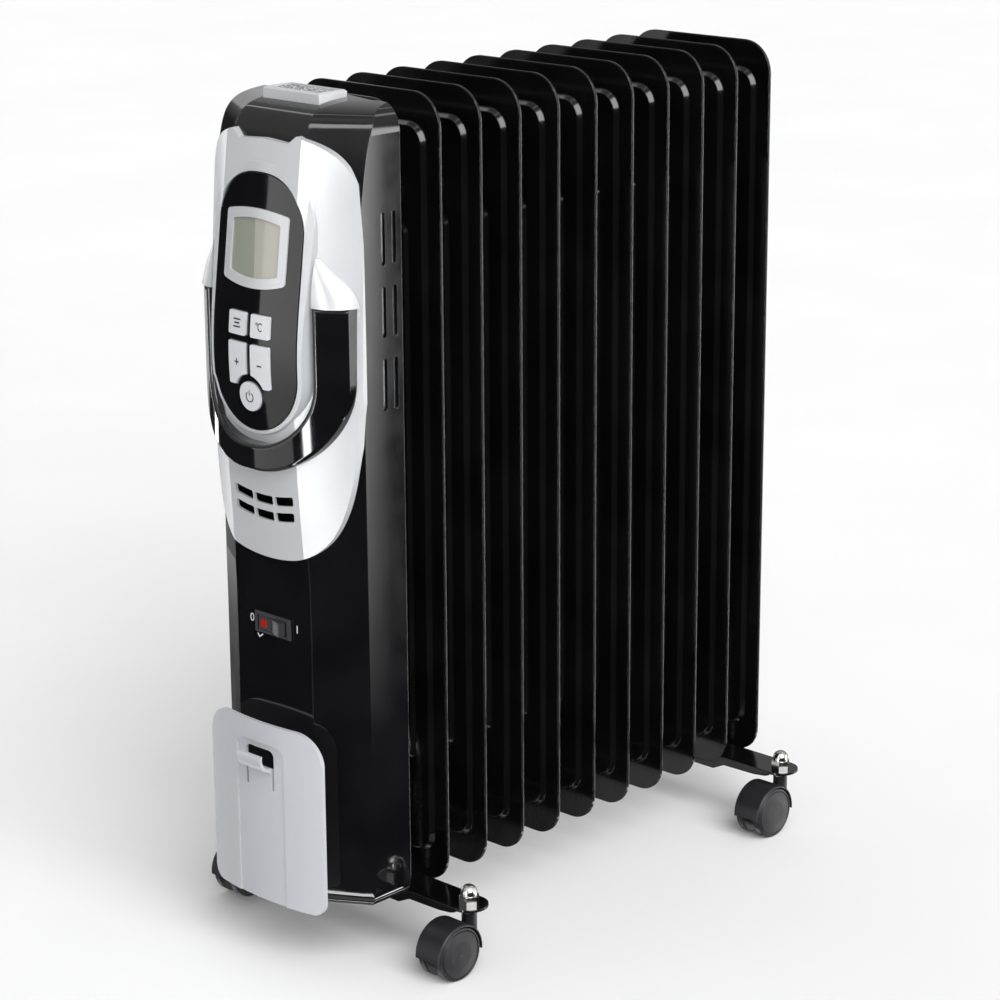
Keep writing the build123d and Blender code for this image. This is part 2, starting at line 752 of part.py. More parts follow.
def button_faces():
    """Front views of the five buttons, by name."""
    ring_cut = Pos(0, POWER_Z) * Circle(POWER_COLLAR)
    faces = {
        "button_mode": key_face(-KEY_OUTER_X, -KEY_INNER_X, *KEY_TOP_ROW),
        "button_temperature": key_face(KEY_INNER_X, KEY_OUTER_X, *KEY_TOP_ROW),
        "button_plus": key_face(-KEY_OUTER_X, -KEY_INNER_X, *KEY_LOW_ROW) - ring_cut,
        "button_minus": key_face(KEY_INNER_X, KEY_OUTER_X, *KEY_LOW_ROW) - ring_cut,
        "button_power": Pos(0, POWER_Z) * Circle(POWER_RADIUS),
    }
    return {name: Plane.XZ * face for name, face in faces.items()}


def make_pod():
    """Black display pod: a bowed shell with openings for the window and the buttons."""
    outer = slab(pod_face(-POD_GAP), 0, POD_WALL)
    rim = front_prism(pod_face(-POD_GAP), -130, POD_BACK_Y) & pod_skin(0)
    rim -= front_prism(pod_face(-POD_GAP - POD_WALL), -130, -90)
    pod = outer + rim
    for x, z in POD_POSTS:
        pod += rod_y(x, -111, DISPLAY_BOARD_Y, z, POD_POST_RADIUS)
    pod -= front_prism(offset(bezel_face(), -2.0), -130, -90)
    pod -= slab(bezel_face(), -1, 1.2)
    for face in button_faces().values():
        pod -= front_prism(offset(face, BUTTON_GAP), -130, -90)
    return pod


def make_bezel():
    """Silver frame around the display window."""
    frame = slab(bezel_face(), -1.0, 1.2)
    frame += slab(offset(bezel_face(), -2.0), 1.2, 3.0)
    return frame - front_prism(window_face(), -130, -90)


def make_window():
    """Clear window over the display, set back in its frame."""
    return slab(window_face(), 0.2, 2.4)


def make_button(face):
    """Silver key with a stem reaching towards its switch."""
    cap = slab(face, -1.6, 3.6) + slab(offset(face, 1.0), 2.8, 3.6)
    centre = face.center()
    stem = front_prism(Plane.XZ * Pos(centre.X, centre.Z) * Circle(2.2), -120, BUTTON_STEM_Y)
    return cap + (stem & pod_skin(0))


def make_display_board():
    """Board behind the pod: display module, driver chip and five key switches."""
    board_face = pod_face(-8.5)
    board = front_prism(board_face, DISPLAY_BOARD_Y, DISPLAY_BOARD_Y + BOARD_THICK)
    board += block(-27, 27, -99.5, DISPLAY_BOARD_Y, 459, 503)
    board += block(-8, 8, DISPLAY_BOARD_Y + BOARD_THICK, DISPLAY_BOARD_Y + 4, 445, 461)
    for face in button_faces().values():
        centre = face.center()
        board += block(centre.X - 3, centre.X + 3, -98.8, DISPLAY_BOARD_Y, centre.Z - 3, centre.Z + 3)
        board += front_prism(Plane.XZ * Pos(centre.X, centre.Z) * Circle(1.5), SWITCH_TOP_Y, -98.8)
    return board


# ---------------------------------------------------------------- top plate


def make_top_plate(housing_outer):
    """Silver textured plate on top of the housing, in its bevelled frame."""
    y0, y1 = TOP_PLATE_Y
    low, high = TOP_PLATE_LEVELS
    base = block(-TOP_PLATE_HALF, TOP_PLATE_HALF, y0, y1, low, high)
    base = chamfer(base.faces().sort_by(Axis.Z)[-1].edges(), TOP_PLATE_BEVEL)
    half = TOP_PLATE_HALF - FIELD_MARGIN
    field = block(-half, half, y0 + FIELD_MARGIN, y1 - FIELD_MARGIN, high - FIELD_DEPTH, high + 1)
    return base - field - housing_outer


# ---------------------------------------------------------------- rocker switch


def make_switch_housing():
    """Snap-in frame and body of the rocker switch."""
    frame = centred_block(SWITCH_FRAME_HALF, SWITCH_FRAME_Y, FRONT_CREASE_Y, SWITCH_FRAME_RISE)
    frame = chamfer(frame.faces().sort_by(Axis.Y)[0].edges(), 0.7)
    body = centred_block(SWITCH_BODY_HALF, FRONT_CREASE_Y, SWITCH_BODY_Y, SWITCH_BODY_RISE)
    for x in SWITCH_TERMINALS:
        body += Pos(x, 0, 0) * centred_block(0.4, SWITCH_BODY_Y, SWITCH_BODY_Y + 8, 2.4)
    switch = frame + body
    switch -= centred_block(SWITCH_WELL_HALF, SWITCH_FRAME_Y - 1, SWITCH_WELL_Y, SWITCH_WELL_RISE)
    reach = PIVOT_RISE + 0.1
    switch -= rod_z(0, SWITCH_PIVOT_Y, SWITCH_Z - reach, SWITCH_Z + reach, PIVOT_RADIUS + RUNNING)
    return switch


def centred_block(half, y0, y1, rise):
    """Box across the middle of the switch."""
    return block(-half, half, y0, y1, SWITCH_Z - rise, SWITCH_Z + rise)


def tilt_rocker(shape):
    """Turn about the rocker pivot to the off position."""
    pivot = Pos(0, SWITCH_PIVOT_Y, 0)
    return pivot * Rot(0, 0, -SWITCH_TILT) * Pos(0, -SWITCH_PIVOT_Y, 0) * shape


def make_rocker():
    """Rocker with its two pivot stubs, tilted to the off position."""
    top = [(-13.4, -105.2), (-12.2, -105.6), (0, -103.4), (12.2, -105.6), (13.4, -105.2)]
    bottom = [(13.4, -100.0), (7, -95.0), (-7, -95.0), (-13.4, -100.0)]
    face = make_face(Polyline(*(top + bottom), close=True))
    rocker = plan_prism(face, SWITCH_Z - ROCKER_RISE, SWITCH_Z + ROCKER_RISE)
    rocker -= lens_block()
    low = SWITCH_Z - PIVOT_RISE
    rocker += rod_z(0, SWITCH_PIVOT_Y, low, low + 2 * PIVOT_RISE, PIVOT_RADIUS)
    return tilt_rocker(rocker)


def lens_block():
    """Room of the indicator lens in the rocker's off side."""
    x0, x1, half = ROCKER_LENS
    return block(x0, x1, -107, -102.6, SWITCH_Z - half, SWITCH_Z + half)


def make_lens():
    """Red indicator lens, flush with the rocker face."""
    face = make_face(
        Polyline((-12.2, -105.7), (0, -103.5), (0, -101), (-12.2, -101), close=True)
    )
    lens = lens_block() & plan_prism(face, SWITCH_Z - 5, SWITCH_Z + 5)
    return tilt_rocker(lens)


# ---------------------------------------------------------------- cord plate


def plate_skin(depth):
    """Bowed sheet surface of the cord plate; depth moves it towards the housing."""
    reach = 62.0
    edge = PLATE_CENTRE_Y + (PLATE_EDGE_Y - PLATE_CENTRE_Y) * (reach / PLATE_HALF) ** 2
    arc = ThreePointArc((reach, edge + depth), (0, PLATE_CENTRE_Y + depth), (-reach, edge + depth))
    back = Polyline((-reach, edge + depth), (-reach, -90), (reach, -90), (reach, edge + depth))
    return plan_prism(make_face(arc + back), -5, 160)


def make_cord_plate():
    """Silver plate that holds the wound cord, with a bent tongue as a hook."""
    outline = panel(2 * PLATE_HALF, PLATE_LOW_Z, PLATE_HIGH_Z, 10, 23)
    plate = (front_prism(outline, -130, -100) & plate_skin(0)) - plate_skin(PLATE_THICK)
    recess = panel(2 * PANEL_HALF, PLATE_LOW_Z - 20, PANEL_TOP_Z, 5, 9)
    plate -= front_prism(recess, -130, -100) - plate_skin(1.0)
    window = panel(2 * SLIT_OUTER, 104, 123, 0.6, 5)
    plate -= front_prism(window, -130, -100)
    for side in (-1, 1):
        slit = Pos(side * (HOOK_HALF + SLIT_OUTER) / 2, 99) * Rectangle(SLIT_OUTER - HOOK_HALF, 12)
        plate -= front_prism(Plane.XZ * slit, -130, -100)
    return plate + make_hook()


def make_hook():
    """Tongue bent forwards and up, above the slits."""
    outer = Spline((-118.8, 103.0), (-120.2, 107.0), (-125.6, 109.6), (-129.2, 115.0), (-129.0, 121.0))
    inner = Spline((-126.8, 121.0), (-126.8, 115.4), (-124.2, 111.8), (-118.2, 110.0), (-116.4, 103.0))
    edges = outer + Line((-129.0, 121.0), (-126.8, 121.0)) + inner
    edges += Line((-116.4, 103.0), (-118.8, 103.0))
    hook = extrude(Plane.YZ * make_face(edges), HOOK_HALF, both=True)
    return hook


def make_hub():
    """Boss between the housing and the cord plate; the cord winds around it."""
    face = Plane.XZ * Pos(0, 57) * Rectangle(44, 66)
    face = fillet(face.vertices(), 16)
    hub = front_prism(face, -125, FRONT_CREASE_Y) & plate_skin(PLATE_THICK)
    for z in HUB_SCREWS:
        hole_start = FRONT_CREASE_Y + WALL - SCREW_REACH
        hub -= rod_y(0, hole_start, FRONT_CREASE_Y, z, SCREW_RADIUS + HOLE_GAP)
    return hub


# ---------------------------------------------------------------- cord gland and boards


def make_gland():
    """Bush in the floor of the housing where the supply cord enters."""
    floor = HOUSING_LOW_Z
    gland = rod_z(0, GLAND_Y, floor - 2, floor, GLAND_FLANGE_RADIUS)
    gland = fillet(gland.faces().sort_by(Axis.Z)[0].edges(), 0.8)
    gland += rod_z(0, GLAND_Y, floor, floor + 7, GLAND_BODY_RADIUS)
    gland += rod_z(0, GLAND_Y, floor + WALL, floor + 5, GLAND_LOCK_RADIUS)
    return gland - rod_z(0, GLAND_Y, floor - 5, floor + 10, GLAND_BORE_RADIUS)


def make_control_board():
    """Power board on the shield's posts, with relays, transformer and capacitors."""
    board = block(-50, 50, BOARD_Y - BOARD_THICK, BOARD_Y, 160, 250)
    front = BOARD_Y - BOARD_THICK
    board += block(-42, -14, front - 16, front, 216, 238)
    board += block(14, 42, front - 16, front, 216, 238)
    board += block(-20, 20, front - 15, front, 164, 192)
    for x in (-34, 34):
        board += rod_y(x, front - 14, front, 182, 6)
    return board


def make_cutout():
    """Overheat cut-out: a bimetal switch on the first fin, above the element."""
    channel_face = FIRST_FIN_Y - CHANNEL_HALF
    z = 140.0
    cutout = rod_y(0, channel_face - 4, channel_face, z, 8)
    cutout += block(-14, 14, channel_face - 1, channel_face, z - 4, z + 4)
    for x in (-4, 4):
        cutout += block(x - 0.4, x + 0.4, channel_face - 6, channel_face - 4, z - 3, z + 3)
    return cutout


# ---------------------------------------------------------------- feet


def make_bracket(y):
    """Gull-wing foot: a channel that carries a castor at each end."""
    top = BRACKET_TOP_Z
    under = top - BRACKET_THICK
    y0 = y - BRACKET_HALF_WIDTH
    y1 = y + BRACKET_HALF_WIDTH
    strip = Pos(0, y) * SlotOverall(2 * (STEM_X + BRACKET_HALF_WIDTH), 2 * BRACKET_HALF_WIDTH)
    bracket = plan_prism(strip, under, top)
    profile = [(52, -7.5), (63, -2.2), (94, -1.6), (105, -0.2), (109, 1.2), (109, under)]
    full = profile + [(-x, z) for x, z in reversed(profile)]
    wall_face = Plane.XZ * make_face(Polyline(*full, close=True))
    for start in (y0, y1 - BRACKET_THICK):
        bracket += front_prism(wall_face, start, start + BRACKET_THICK)
    for x in (-STEM_X, STEM_X):
        bracket -= rod_z(x, y, under - 1, top + 1, STEM_RADIUS + HOLE_GAP)
    for x in (-U_BOLT_X, U_BOLT_X):
        bracket -= rod_z(x, y, under - 1, top + 1, U_BOLT_RADIUS + HOLE_GAP)
    return bracket


def make_u_bolts():
    """Bolts that clamp each foot to the lower header."""
    bolts = []
    for y in BRACKET_Y:
        reach = U_BOLT_X + U_BOLT_RADIUS + 1
        ring = Pos(0, y, HEADER_LOW_Z) * Rot(90, 0, 0) * Torus(U_BOLT_X, U_BOLT_RADIUS)
        bow = ring & block(-reach, reach, y - 5, y + 5, HEADER_LOW_Z, HEADER_LOW_Z + reach)
        for x in (-U_BOLT_X, U_BOLT_X):
            bow += rod_z(x, y, -9, HEADER_LOW_Z, U_BOLT_RADIUS)
        bolts.append(bow)
    return Compound(children=bolts)


def make_wing_nuts():
    """Four wing nuts under the feet."""
    nuts = []
    under = BRACKET_TOP_Z - BRACKET_THICK
    for y in BRACKET_Y:
        for x in (-U_BOLT_X, U_BOLT_X):
            nut = rod_z(x, y, under - 6, under, 5)
            for side in (-1, 1):
                wing = Pos(x + side * 7, y, under - 6.5) * Rot(0, 25 * side, 0) * Box(9, 2, 7)
                nut += wing & block(x - 20, x + 20, y - 5, y + 5, under - 12, under - 1)
            nut -= rod_z(x, y, under - 15, under + 1, U_BOLT_RADIUS + HOLE_GAP)
            nuts.append(nut)
    return Compound(children=nuts)


def castor_spots():
    """Stem positions by castor name."""
    return {
        "front_left": (-STEM_X, BRACKET_Y[0]),
        "front_right": (STEM_X, BRACKET_Y[0]),
        "rear_left": (-STEM_X, BRACKET_Y[1]),
        "rear_right": (STEM_X, BRACKET_Y[1]),
    }


def make_stems():
    """Castor stems: threaded end, collar under the foot, plain pin in the castor."""
    stems = []
    under = BRACKET_TOP_Z - BRACKET_THICK
    for x, y in castor_spots().values():
        stem = rod_z(x, y, under, BRACKET_TOP_Z + 9, STEM_RADIUS)
        stem += rod_z(x, y, under - 3.5, under, 7)
        stem += rod_z(x, y, AXLE_Z + 3, under, PIN_RADIUS)
        stems.append(stem)
    return Compound(children=stems)


def make_cap_nuts():
    """Domed nuts on the castor stems."""
    nuts = []
    for x, y in castor_spots().values():
        base = BRACKET_TOP_Z
        hexagon = Pos(x, y) * RegularPolygon(13 / math.sqrt(3), 6)
        nut = plan_prism(hexagon, base, base + 6.5)
        nut = nut & (Pos(x, y, base + 0.6) * Sphere(9.2))
        dome = Pos(x, y, base + 8.4) * Sphere(6.1) + rod_z(x, y, base + 5, base + 8.4, 6.1)
        nut += dome & rod_z(x, y, base, base + 20, 6.1)
        nut -= rod_z(x, y, base - 1, base + 9 + HOLE_GAP, STEM_RADIUS + HOLE_GAP)
        nuts.append(nut)
    return Compound(children=nuts)


def make_hood(x, y):
    """Castor body: arched cover, central web and swivel socket."""
    centre_y = y - TRAIL
    cover = rod_x(x - HOOD_HALF, x + HOOD_HALF, centre_y, AXLE_Z, HOOD_RADIUS)
    cover = fillet(cover.edges(), 1.6)
    reach = HOOD_RADIUS + 1
    cover -= block(x - 20, x + 20, centre_y - reach, centre_y + reach, AXLE_Z - reach, AXLE_Z - 1.5)
    neck_top = BRACKET_TOP_Z - BRACKET_THICK - 3.5 - 0.4
    cover += rod_z(x, y, AXLE_Z - 1.5, neck_top, 5.6)
    web_low = rod_x(x - WEB_HALF, x + WEB_HALF, centre_y, AXLE_Z, 14)
    for side in (-1, 1):
        near = x + side * WEB_HALF
        far = x + side * (HOOD_HALF + 1)
        cover -= rod_x(min(near, far), max(near, far), centre_y, AXLE_Z, WHEEL_RADIUS + 1.0)
    hood = cover + web_low
    hood -= rod_x(x - 20, x + 20, centre_y, AXLE_Z, AXLE_RADIUS)
    hood -= rod_z(x, y, AXLE_Z + 2, 20, PIN_RADIUS + RUNNING)
    return hood


def make_axle(x, y):
    """Steel axle of one castor."""
    axle = rod_x(x - 10.2, x + 10.2, y - TRAIL, AXLE_Z, AXLE_RADIUS)
    return chamfer(axle.edges(), 0.4)


def make_wheel(x, y, side):
    """Twin-castor wheel with a stepped and domed outer disc; side is -1 or 1."""
    inner = WHEEL_INNER_X
    outer = WHEEL_OUTER_X
    profile = [
        (inner + 0.6, 0),
        (inner, 6.5),
        (inner, 8.5),
        (inner + 1.0, WHEEL_RADIUS - 4.5),
        (inner + 0.4, WHEEL_RADIUS - 0.9),
        (inner + 1.2, WHEEL_RADIUS),
        (outer - 1.2, WHEEL_RADIUS),
        (outer - 0.3, WHEEL_RADIUS - 0.6),
        (outer - 0.1, WHEEL_RADIUS - 1.6),
        (outer - 0.8, WHEEL_RADIUS - 2.0),
        (outer - 0.8, WHEEL_RADIUS - 2.5),
        (outer - 0.2, WHEEL_RADIUS - 2.9),
        (outer + 0.5, WHEEL_RADIUS / 2),
        (outer + 0.7, 0),
    ]
    face = make_face(Polyline(*profile, close=True))
    wheel = revolve(face, Axis.X)
    wheel -= rod_x(inner - 1, 10.6, 0, 0, AXLE_RADIUS + RUNNING)
    if side < 0:
        wheel = mirror(wheel, Plane.YZ)
    return Pos(x, y - TRAIL, AXLE_Z) * wheel


# ---------------------------------------------------------------- build


def export_fins():
    """Write the fins; the first and the last close the oil circuit."""
    bore = COLLAR_RADIUS - COLLAR_WALL
    headers = ((HEADER_LOW_Z, bore), (HEADER_HIGH_Z, bore))
    front_of_first = ((HEADER_LOW_Z, bore), (HEADER_HIGH_Z, PLUG_HOLE_RADIUS))
    first = make_fin(front_of_first, headers)
    middle = make_fin(headers, headers)
    last = make_fin(headers, ())
    for index in range(FIN_COUNT):
        fin = middle
        if index == 0:
            fin = first
        if index == FIN_COUNT - 1:
            fin = last
        export(f"fin_{index + 1:02d}", Pos(0, FIRST_FIN_Y + index * FIN_PITCH, 0) * fin)


def export_castors():
    """Write the four castors with their wheels."""
    for name, (x, y) in castor_spots().items():
        export("castor_hood_" + name, make_hood(x, y))
        export("castor_axle_" + name, make_axle(x, y))
        export("castor_wheel_" + name + "_inner", make_wheel(x, y, -math.copysign(1, x)))
        export("castor_wheel_" + name + "_outer", make_wheel(x, y, math.copysign(1, x)))


def export_control_unit():
    """Write the housing and everything on it."""
    housing_outer = housing_mass(0)
    cover = make_fascia(housing_outer)
    export("control_housing", make_housing(housing_outer))
    export("silver_fascia", cover)
    export("handle_grip", make_handle(cover, housing_outer))
    export("display_pod", make_pod())
    export("display_bezel", make_bezel())
    export("display_window", make_window())
    export("display_board", make_display_board())
    for name, face in button_faces().items():
        export(name, make_button(face))
    export("top_plate", make_top_plate(housing_outer))
    export("switch_housing", make_switch_housing())
    export("switch_rocker", make_rocker())
    export("switch_lens", make_lens())
    export("cord_plate", make_cord_plate())
    export("cord_plate_hub", make_hub())
    export("cord_gland", make_gland())
    export("control_board", make_control_board())
    export("housing_screws", make_housing_screws())


os.makedirs("parts", exist_ok=True)
export_fins()
export("header_collars", make_collars())
export("heating_element", make_element())
export("element_flange", make_flange())
export("filler_plug", make_filler_plug())
export("thermal_cutout", make_cutout())
export("rear_shield", make_shield())
export_control_unit()
export("front_foot_bracket", make_bracket(BRACKET_Y[0]))
export("rear_foot_bracket", make_bracket(BRACKET_Y[1]))
export("header_u_bolts", make_u_bolts())
export("wing_nuts", make_wing_nuts())
export("castor_stems", make_stems())
export("cap_nuts", make_cap_nuts())
export_castors()
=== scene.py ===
import math
import random

import bpy
from mathutils import Matrix, Vector
from mathutils.bvhtree import BVHTree


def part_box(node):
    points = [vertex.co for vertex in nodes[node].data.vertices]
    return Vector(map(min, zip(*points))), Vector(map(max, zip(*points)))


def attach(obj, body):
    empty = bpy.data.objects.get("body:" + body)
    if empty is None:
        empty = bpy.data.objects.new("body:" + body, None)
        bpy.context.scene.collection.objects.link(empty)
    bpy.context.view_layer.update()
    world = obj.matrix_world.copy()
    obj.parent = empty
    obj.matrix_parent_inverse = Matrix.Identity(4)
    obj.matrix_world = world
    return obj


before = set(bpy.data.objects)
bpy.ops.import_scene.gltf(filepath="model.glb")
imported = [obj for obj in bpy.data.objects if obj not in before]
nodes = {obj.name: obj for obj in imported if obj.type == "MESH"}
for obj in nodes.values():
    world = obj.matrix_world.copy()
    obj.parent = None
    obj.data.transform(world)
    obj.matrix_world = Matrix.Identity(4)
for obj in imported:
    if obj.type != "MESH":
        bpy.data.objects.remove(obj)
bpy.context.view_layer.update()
MM = 0.001

# ------------------------------------------------------------------ camera

AZIMUTH = 43.518
ELEVATION = 16.236
ROLL = -0.339
LENS = 105.56
SENSOR = 36.0
# Camera position from the middle of the footprint, in millimetres.
CAMERA_PLACE = (1464.2, -1530.1, 916.5)


def make_camera():
    """Camera at the viewing angle, with its own lens."""
    a, e, r = (math.radians(v) for v in (AZIMUTH, ELEVATION, ROLL))
    back = Vector((math.sin(a) * math.cos(e), -math.cos(a) * math.cos(e), math.sin(e)))
    right = Vector((math.cos(a), math.sin(a), 0.0))
    up = back.cross(right)
    rolled_right = math.cos(r) * right + math.sin(r) * up
    rolled_up = math.cos(r) * up - math.sin(r) * right
    turn = Matrix((rolled_right, rolled_up, back)).transposed().to_4x4()
    data = bpy.data.cameras.new("camera")
    data.lens = LENS
    data.sensor_width = SENSOR
    data.clip_end = 60.0
    camera = bpy.data.objects.new("camera", data)
    camera.matrix_world = Matrix.Translation(Vector(CAMERA_PLACE) * MM) @ turn
    bpy.context.scene.collection.objects.link(camera)
    bpy.context.scene.camera = camera


# ------------------------------------------------------------------ materials


class Look:
    """A procedural material: colour variation, roughness variation and bump."""

    def __init__(self, name, roughness=0.3, metallic=0.0, coat=0.0, coat_roughness=0.05, ior=1.5):
        self.material = bpy.data.materials.new(name)
        self.material.use_nodes = True
        self.tree = self.material.node_tree
        self.shader = self.tree.nodes["Principled BSDF"]
        self.shader.inputs["Metallic"].default_value = metallic
        self.shader.inputs["Roughness"].default_value = roughness
        self.shader.inputs["Coat Weight"].default_value = coat
        self.shader.inputs["Coat Roughness"].default_value = coat_roughness
        self.shader.inputs["IOR"].default_value = ior
        self.coords = self.tree.nodes.new("ShaderNodeTexCoord")
        self.height = None

    def link(self, a, b):
        self.tree.links.new(a, b)

    def noise(self, scale, detail=2.0, stretch=(1.0, 1.0, 1.0), roughness=0.5):
        """Noise in object space, in cycles per metre; stretch scales each axis."""
        mapping = self.tree.nodes.new("ShaderNodeMapping")
        mapping.inputs["Scale"].default_value = stretch
        self.link(self.coords.outputs["Object"], mapping.inputs["Vector"])
        node = self.tree.nodes.new("ShaderNodeTexNoise")
        node.inputs["Scale"].default_value = scale
        node.inputs["Detail"].default_value = detail
        node.inputs["Roughness"].default_value = roughness
        self.link(mapping.outputs["Vector"], node.inputs["Vector"])
        return node.outputs["Fac"]

    def spread(self, value, low, high, start=0.35, end=0.65):
        """A value mapped from the middle of its range to low..high."""
        node = self.tree.nodes.new("ShaderNodeMapRange")
        node.inputs["From Min"].default_value = start
        node.inputs["From Max"].default_value = end
        node.inputs["To Min"].default_value = low
        node.inputs["To Max"].default_value = high
        self.link(value, node.inputs["Value"])
        return node.outputs["Result"]

    def blend(self, value, low, high, start=0.35, end=0.65):
        """Two colours blended by a value."""
        ramp = self.tree.nodes.new("ShaderNodeValToRGB")
        ramp.color_ramp.elements[0].position = start
        ramp.color_ramp.elements[0].color = (*low, 1.0)
        ramp.color_ramp.elements[1].position = end
        ramp.color_ramp.elements[1].color = (*high, 1.0)
        self.link(value, ramp.inputs["Fac"])
        return ramp.outputs["Color"]

    def colour(self, output):
        self.link(output, self.shader.inputs["Base Color"])

    def vary_roughness(self, scale, low, high, detail=3.0):
        value = self.spread(self.noise(scale, detail), low, high)
        self.link(value, self.shader.inputs["Roughness"])

    def bump(self, value, strength, distance):
        """One more layer of bump, height in metres."""
        node = self.tree.nodes.new("ShaderNodeBump")
        node.inputs["Strength"].default_value = strength
        node.inputs["Distance"].default_value = distance
        self.link(value, node.inputs["Height"])
        if self.height:
            self.link(self.height, node.inputs["Normal"])
        self.height = node.outputs["Normal"]
        self.link(self.height, self.shader.inputs["Normal"])

    def round_edges(self, radius):
        """Soften sharp edges in the shading, radius in metres."""
        node = self.tree.nodes.new("ShaderNodeBevel")
        node.samples = 6
        node.inputs["Radius"].default_value = radius
        self.height = node.outputs["Normal"]

    def lighten_sharp_edges(self, output, colour, low, high, amount):
        """Blend towards a colour on sharp outer edges."""
        geometry = self.tree.nodes.new("ShaderNodeNewGeometry")
        value = self.spread(geometry.outputs["Pointiness"], 0.0, amount, low, high)
        mix = self.tree.nodes.new("ShaderNodeMix")
        mix.data_type = "RGBA"
        self.link(value, mix.inputs["Factor"])
        self.link(output, mix.inputs["A"])
        mix.inputs["B"].default_value = (*colour, 1.0)
        return mix.outputs["Result"]


def enamel():
    """Glossy black enamel with a slight orange peel."""
    look = Look("black_enamel", roughness=0.16, coat=0.35, coat_roughness=0.06)
    look.colour(look.blend(look.noise(18), (0.0022, 0.0022, 0.0026), (0.0045, 0.0044, 0.005)))
    look.vary_roughness(30, 0.13, 0.2)
    look.round_edges(0.0014)
    look.bump(look.noise(420, 2), 0.25, 0.00012)
    look.bump(look.noise(14, 1), 0.2, 0.0008)
    return look.material


def gloss_black():
    """High gloss moulded black plastic."""
    look = Look("gloss_black", roughness=0.08, coat=0.7, coat_roughness=0.015)
    look.colour(look.blend(look.noise(25), (0.0028, 0.0027, 0.0034), (0.005, 0.0048, 0.0058)))
    look.vary_roughness(45, 0.05, 0.1)
    look.round_edges(0.0009)
    look.bump(look.noise(11, 1), 0.15, 0.0008)
    look.bump(look.noise(650, 2), 0.08, 0.00006)
    return look.material


def silver_paint(name, tone, roughness, metallic):
    """Silver painted plastic with fine flakes."""
    look = Look(name, roughness=roughness, metallic=metallic)
    low = tuple(0.94 * c for c in tone)
    high = tuple(min(1.0, 1.04 * c) for c in tone)
    look.colour(look.blend(look.noise(3600, 2, roughness=0.6), low, high))
    look.vary_roughness(35, roughness - 0.03, roughness + 0.04)
    look.bump(look.noise(3600, 1), 0.05, 0.00002)
    return look.material


def hammered_silver():
    """Bright silver with painted shade in the hollows, for the textured inlay."""
    look = Look("hammered_silver", roughness=0.22, metallic=0.5)
    # Painted shade: the colour uses the same noise as the bump below, so the low hollows are
    # painted dark.
    look.colour(look.blend(look.noise(620, 2), (0.16, 0.16, 0.17), (0.85, 0.85, 0.87)))
    look.vary_roughness(500, 0.15, 0.35)
    look.bump(look.noise(620, 2), 0.6, 0.0006)
    return look.material


def satin_plastic(name, tone, roughness, grain, depth):
    """Moulded plastic with a fine spark-eroded grain and lighter edges."""
    look = Look(name, roughness=roughness)
    low = tuple(0.85 * c for c in tone)
    high = tuple(1.15 * c for c in tone)
    base = look.blend(look.noise(60, 4), low, high)
    lighter = tuple(min(1.0, 1.8 * c) for c in tone)
    # Sharp outer edges, found by pointiness, are blended towards the lighter tone.
    look.colour(look.lighten_sharp_edges(base, lighter, 0.52, 0.62, 0.5))
    look.vary_roughness(90, roughness - 0.07, roughness + 0.08)
    look.bump(look.noise(grain, 2), 0.35, depth)
    return look.material


def plated(name, tone, roughness):
    """Bright plated steel with fine turning marks."""
    look = Look(name, roughness=roughness, metallic=1.0)
    low = tuple(0.86 * c for c in tone)
    look.colour(look.blend(look.noise(140, 4), low, tone))
    look.vary_roughness(260, roughness - 0.06, roughness + 0.1)
    look.bump(look.noise(900, 2, stretch=(1.0, 1.0, 0.2)), 0.15, 0.00005)
    return look.material


def circuit_board():
    """Green board with copper tracks under the mask."""
    look = Look("circuit_board", roughness=0.4)
    tracks = look.noise(260, 1, stretch=(1, 1, 0.1))
    look.colour(look.blend(tracks, (0.01, 0.09, 0.03), (0.03, 0.17, 0.06)))
    look.vary_roughness(200, 0.3, 0.5)
    look.bump(look.noise(700, 2), 0.3, 0.0001)
    return look.material


def display_with_painted_reflection(low, high):
    """Grey-green display with a painted reflection: its upper corner is painted lighter, behind a
    glossy window.
    """
    look = Look("display_with_painted_reflection", roughness=0.12, coat=0.6, coat_roughness=0.04)
    axis = look.tree.nodes.new("ShaderNodeSeparateXYZ")
    look.link(look.coords.outputs["Object"], axis.inputs["Vector"])
    # Painted reflection: a sharp diagonal split in the colour, lighter towards one corner, stands
    # in for a reflection on the window.
    painted_reflection_slope = look.tree.nodes.new("ShaderNodeMath")
    painted_reflection_slope.operation = "MULTIPLY_ADD"
    painted_reflection_slope.inputs[1].default_value = 0.06
    look.link(axis.outputs["Z"], painted_reflection_slope.inputs[0])
    look.link(axis.outputs["X"], painted_reflection_slope.inputs[2])
    middle = 0.06 * (low.z + high.z) / 2
    value = look.spread(painted_reflection_slope.outputs["Value"], 0.0, 1.0, middle - 0.0003, middle + 0.0003)
    look.colour(look.blend(value, (0.27, 0.285, 0.235), (0.4, 0.385, 0.34), 0.0, 1.0))
    look.vary_roughness(90, 0.09, 0.16)
    look.bump(look.noise(2000, 1), 0.04, 0.00003)
    return look.material


def red_lens():
    """Red translucent lens, lit from within."""
    look = Look("red_lens", roughness=0.12, coat=0.5)
    look.colour(look.blend(look.noise(900, 2), (0.26, 0.004, 0.003), (0.42, 0.01, 0.006)))
    look.vary_roughness(400, 0.08, 0.18)
    look.bump(look.noise(1500, 1), 0.2, 0.0001)
    look.shader.inputs["Emission Color"].default_value = (1.0, 0.03, 0.015, 1.0)
    look.shader.inputs["Emission Strength"].default_value = 0.06
    return look.material


def print_ink(name, tone):
    """Screen printed mark, slightly uneven."""
    look = Look(name, roughness=0.45)
    low = tuple(0.88 * c for c in tone)
    look.colour(look.blend(look.noise(1500, 3), low, tone))
    look.vary_roughness(900, 0.4, 0.55)
    look.bump(look.noise(4000, 1), 0.2, 0.00003)
    return look.material


# ------------------------------------------------------------------ small meshes


